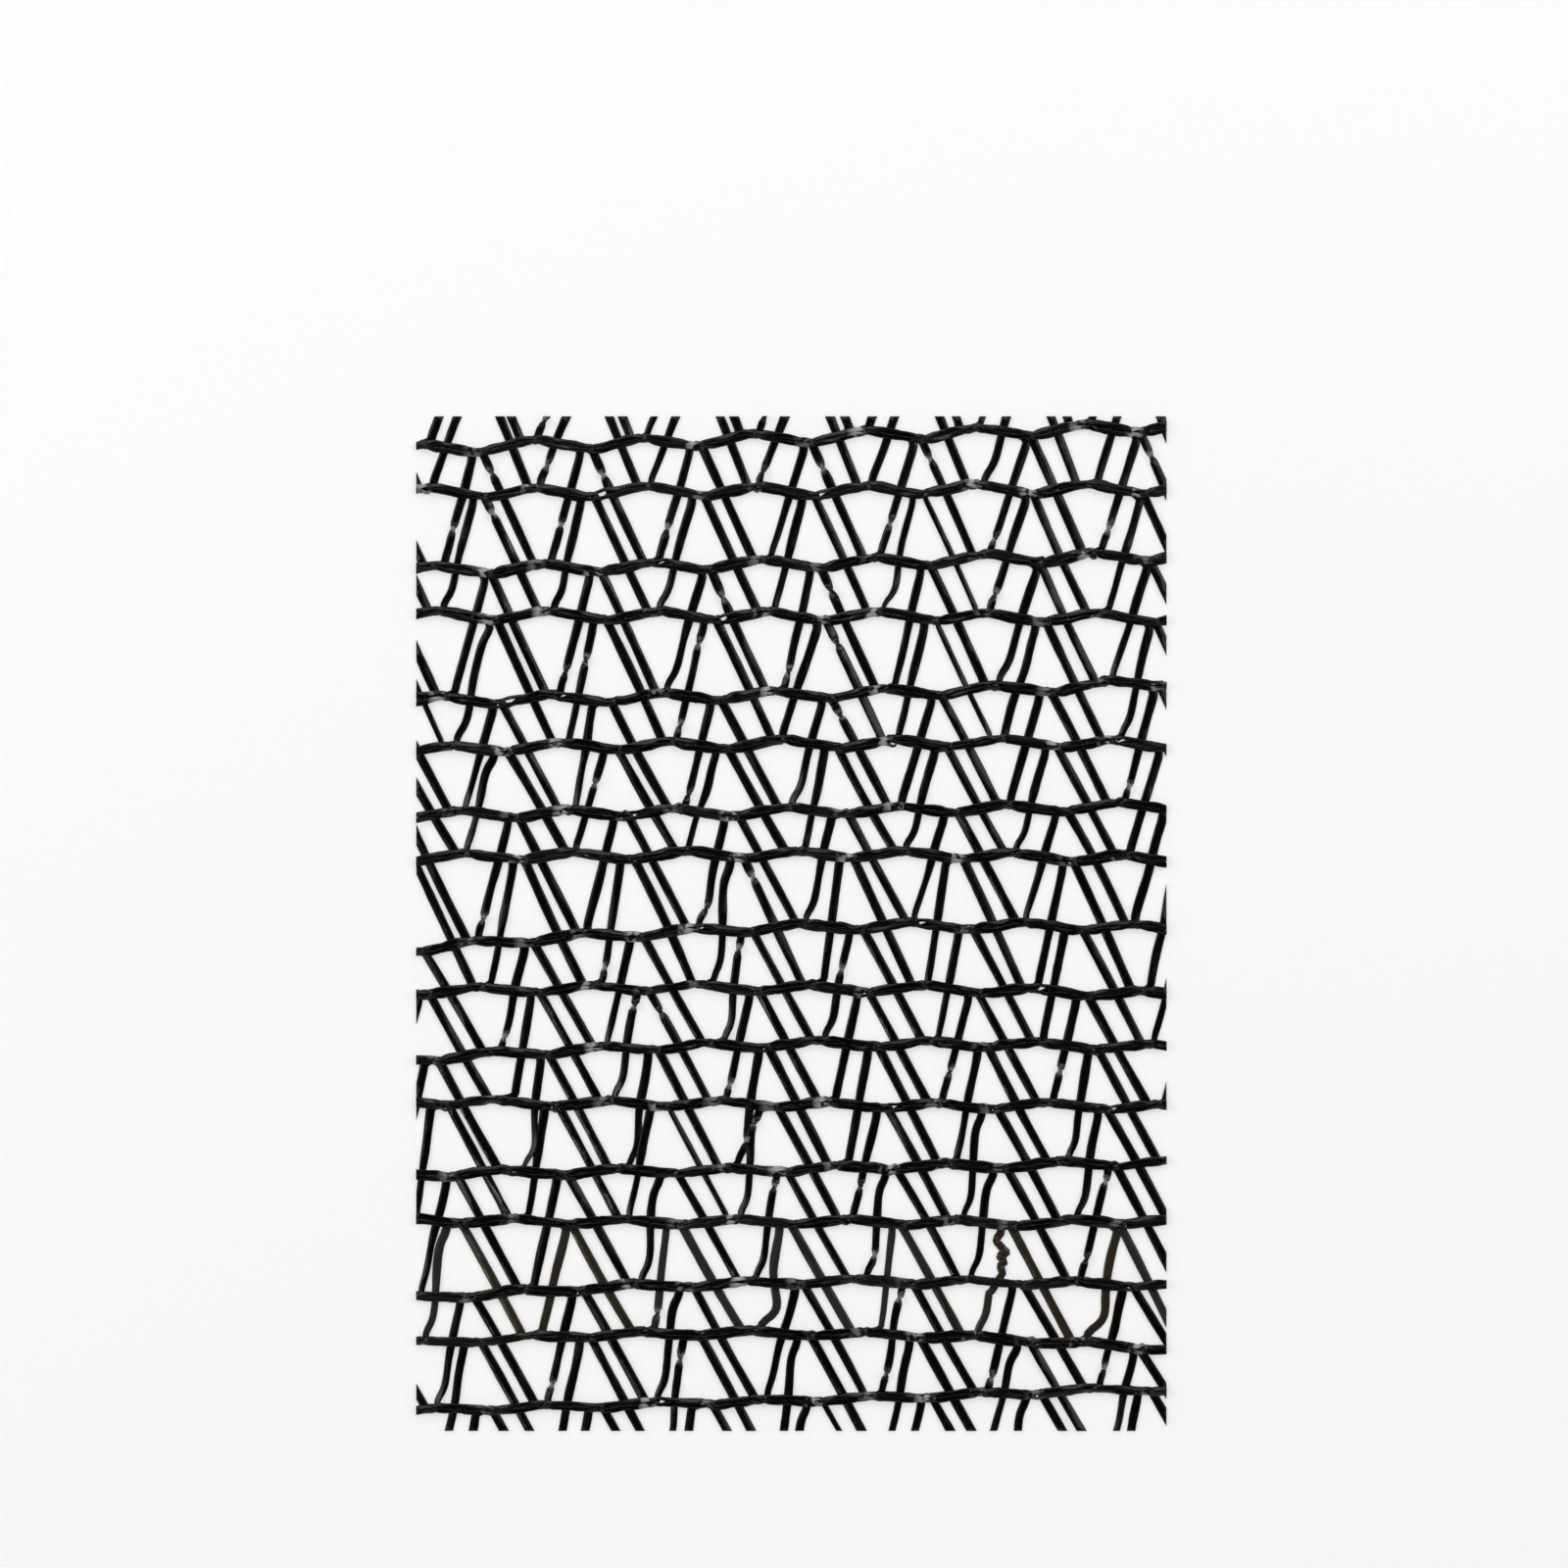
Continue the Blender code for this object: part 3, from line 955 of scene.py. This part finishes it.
# %% Node groups: thin stretches with painted sheen, painted glints
def thin_stretches_and_sheen_group():
    group, given, result = new_group(
        "thin_stretches_and_sheen",
        [("Black", "NodeSocketColor", (0.006, 0.006, 0.006, 1)),
         ("Thin", "NodeSocketColor", (0.03, 0.03, 0.03, 1)),
         ("Olive", "NodeSocketColor", (0.03, 0.03, 0.02, 1)),
         ("Amount", "NodeSocketFloat", 0.5)],
        [("Color", "NodeSocketColor"), ("Thin And Sheen Mask", "NodeSocketFloat")])
    along = arithmetic(group, "MULTIPLY", stored(group, "along"), 55.0)
    place = add_node(group, "ShaderNodeCombineXYZ", X=along, Y=stored(group, "tint"))
    slow = add_node(group, "ShaderNodeTexNoise", Vector=place.outputs[0], Scale=1.0, Detail=2.0)
    nudged = arithmetic(group, "ADD", stored(group, "tint"), slow.outputs["Fac"])
    mask = arithmetic(group, "MULTIPLY", eased(group, nudged, 0.95, 1.3), given["Amount"])
    hue = add_node(group, "ShaderNodeTexNoise", Vector=place.outputs[0], Scale=0.37, Detail=0.0)
    # The lighter colours, dark grey and faintly olive, are partly thinner film and partly a painted
    # sheen
    painted_sheen = mixed(group, eased(group, hue.outputs["Fac"], 0.42, 0.6), given["Thin"], given["Olive"])
    group.links.new(mixed(group, mask, given["Black"], painted_sheen), result["Color"])
    group.links.new(mask, result["Thin And Sheen Mask"])
    return group


def painted_glints_group():
    group, given, result = new_group(
        "painted_glints",
        [("Color", "NodeSocketColor", (0.01, 0.01, 0.01, 1)),
         ("Painted Glint", "NodeSocketColor", (0.42, 0.42, 0.43, 1)),
         ("Amount", "NodeSocketFloat", 0.5)],
        [("Color", "NodeSocketColor"), ("Glint Mask", "NodeSocketFloat")])
    place = add_node(group, "ShaderNodeTexCoord").outputs["Object"]
    # Pale specks where the stored amount is high: a painted highlight, partly film whitened by the
    # pinch
    speckle = add_node(group, "ShaderNodeTexNoise", Vector=place, Scale=550.0, Detail=1.0)
    spots = eased(group, speckle.outputs["Fac"], 0.44, 0.60)
    strong = arithmetic(group, "MULTIPLY", stored(group, "painted_sheen"), given["Amount"])
    mask = arithmetic(group, "MULTIPLY", strong, spots)
    group.links.new(mixed(group, mask, given["Color"], given["Painted Glint"]), result["Color"])
    group.links.new(mask, result["Glint Mask"])
    return group


drawn_lines = drawn_lines_group()
thin_stretches_and_sheen = thin_stretches_and_sheen_group()
painted_glints = painted_glints_group()


# %% [markdown]
# ### Two materials from the same groups
#
# The chains' tape is gripped at every stitch, so it gets more painted glint specks and less of the
# grey and olive tone, which is partly painted sheen. The laid-in tape lies open between the chains:
# more of that tone shows on it.

# %% The two finishes
LINES_ROUGHEN, PINCH_ROUGHENS = 0.10, 0.25
BUMP_STRENGTH = 0.5
TAPE_SPECULAR = 0.24


def place_group(tree, group, **values):
    return add_node(tree, "ShaderNodeGroup", {"node_tree": group}, **values).outputs


def tape_finish(name, black, thin, olive, thin_and_sheen_amount, glint_amount, rough, line_depth):
    material = bpy.data.materials.new(name)
    material.use_nodes = True
    tree = material.node_tree
    shader = tree.nodes["Principled BSDF"]
    lines = place_group(tree, drawn_lines)
    body = place_group(tree, thin_stretches_and_sheen,
                       Black=black, Thin=thin, Olive=olive, Amount=thin_and_sheen_amount)
    glinted = place_group(tree, painted_glints, Color=body["Color"], Amount=glint_amount)
    tree.links.new(glinted["Color"], shader.inputs["Base Color"])
    lined = arithmetic(tree, "MULTIPLY_ADD", lines["Lines"], LINES_ROUGHEN, rough)
    roughness = arithmetic(tree, "MULTIPLY_ADD", glinted["Glint Mask"], PINCH_ROUGHENS, lined)
    tree.links.new(roughness, shader.inputs["Roughness"])
    bump = add_node(tree, "ShaderNodeBump",
                    Strength=BUMP_STRENGTH, Distance=line_depth, Height=lines["Height"])
    tree.links.new(bump.outputs["Normal"], shader.inputs["Normal"])
    shader.inputs["Specular IOR Level"].default_value = TAPE_SPECULAR
    return material


# Each finish: its black, its lighter grey and olive tones (partly a painted sheen), how much of
# those show, and how strong its painted glint specks are
inlay_finish = tape_finish(
    "inlay_tape_film", black=(0.0012, 0.0011, 0.0011, 1), thin=(0.026, 0.024, 0.023, 1),
    olive=(0.026, 0.023, 0.015, 1), thin_and_sheen_amount=0.9, glint_amount=0.5,
    rough=0.20, line_depth=0.00006)
chain_finish = tape_finish(
    "chain_tape_film", black=(0.0012, 0.0011, 0.0013, 1), thin=(0.014, 0.013, 0.016, 1),
    olive=(0.014, 0.013, 0.010, 1), thin_and_sheen_amount=0.5, glint_amount=0.75,
    rough=0.20, line_depth=0.00005)
inlays.data.materials.append(inlay_finish)
for piece in chains:
    piece.data.materials.append(chain_finish)
print("materials:", inlay_finish.name, chain_finish.name)

# %% [markdown]
# ## Floor and light
#
# Black gloss is lit by what it mirrors, not by the light that falls on it. Seen from
# above, flat tape mirrors whatever hangs overhead. So the studio is pale all round but
# dark overhead, which keeps flat tape black, while every twisted or rounded place finds
# the pale walls or a lamp and glints.

# %% Floor
FLOOR_SIZE = 3.0
FLOOR_COLOUR = (0.45, 0.45, 0.453, 1)
GLOW_COLOUR, FLOOR_GLOW = (1.0, 1.0, 1.005, 1), 0.56
FLOOR_ROUGHNESS, FLOOR_SPECULAR = 0.9, 0.2


def flat_square(name, size):
    half = size / 2
    mesh = bpy.data.meshes.new(name)
    corners = [(-half, -half, 0), (half, -half, 0), (half, half, 0), (-half, half, 0)]
    mesh.from_pydata(corners, [], [(0, 1, 2, 3)])
    made = bpy.data.objects.new(name, mesh)
    bpy.context.scene.collection.objects.link(made)
    return made


floor = flat_square("floor", FLOOR_SIZE)
floor_finish = bpy.data.materials.new("pale_floor")
floor_finish.use_nodes = True
floor_shader = floor_finish.node_tree.nodes["Principled BSDF"]
floor_shader.inputs["Base Color"].default_value = FLOOR_COLOUR
floor_shader.inputs["Emission Color"].default_value = GLOW_COLOUR
floor_shader.inputs["Emission Strength"].default_value = FLOOR_GLOW
floor_shader.inputs["Roughness"].default_value = FLOOR_ROUGHNESS
floor_shader.inputs["Specular IOR Level"].default_value = FLOOR_SPECULAR
floor.data.materials.append(floor_finish)

# %% Lamps: degrees round, degrees up, distance and size in metres, watts
LAMPS = {
    "left_window": (165, 34, 1.4, 0.9, 7.5),
    "right_window": (20, 38, 1.4, 0.9, 5.5),
    "far_window": (95, 36, 1.4, 0.8, 5.0),
    "glint_left": (215, 48, 1.2, 0.10, 1.0),
    "glint_right": (40, 52, 1.2, 0.10, 1.0),
}
for name, (around, elevation, distance, size, watts) in LAMPS.items():
    lamp_data = bpy.data.lights.new(name, "AREA")
    lamp_data.shape = "DISK"
    lamp_data.size = size
    lamp_data.energy = watts
    lamp = bpy.data.objects.new(name, lamp_data)
    bpy.context.scene.collection.objects.link(lamp)
    level = math.cos(math.radians(elevation)) * distance
    lamp.location = (level * math.cos(math.radians(around)), level * math.sin(math.radians(around)),
                     math.sin(math.radians(elevation)) * distance)
    lamp.rotation_euler = Vector(lamp.location).to_track_quat("Z", "Y").to_euler()

# %% The studio walls: pale round about, dark overhead, and plain pale behind everything
WALL_LIGHT = 0.75
OVERHEAD_LIGHT = 0.015
WALLS_END, OVERHEAD_BEGINS = 0.42, 0.70     # the sine of the angle above the horizon
BACKDROP = (0.90, 0.90, 0.905, 1)

world = bpy.data.worlds.new("studio")
bpy.context.scene.world = world
world.use_nodes = True
sky = world.node_tree
walls = sky.nodes["Background"]
walls.inputs["Color"].default_value = (1, 1, 1, 1)
direction = add_node(sky, "ShaderNodeTexCoord").outputs["Generated"]
up = add_node(sky, "ShaderNodeSeparateXYZ", Vector=direction).outputs["Z"]
strength = add_node(sky, "ShaderNodeMapRange", {"interpolation_type": "SMOOTHSTEP"}, Value=up,
                    From_Min=WALLS_END, From_Max=OVERHEAD_BEGINS,
                    To_Min=WALL_LIGHT, To_Max=OVERHEAD_LIGHT)
sky.links.new(strength.outputs["Result"], walls.inputs["Strength"])
backdrop = add_node(sky, "ShaderNodeBackground", Color=BACKDROP)
seen = add_node(sky, "ShaderNodeLightPath").outputs["Is Camera Ray"]
either = add_node(sky, "ShaderNodeMixShader", i0=seen, i1=walls.outputs[0], i2=backdrop.outputs[0])
sky.links.new(either.outputs[0], sky.nodes["World Output"].inputs["Surface"])
bpy.context.scene.view_settings.view_transform = "Standard"
print("lamps:", len(LAMPS))

# %% [markdown]
# ## Tell the frame which body each piece belongs to

# %% Bodies, and half the surface of the laid-in tapes
for piece in chains + [inlays]:
    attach(piece, "root")
    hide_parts("net")


def half_surface(piece):
    return sum(face.area for face in piece.data.polygons) / 2


print("half the surface of the laid-in tapes:", round(half_surface(inlays), 5), "square metres")
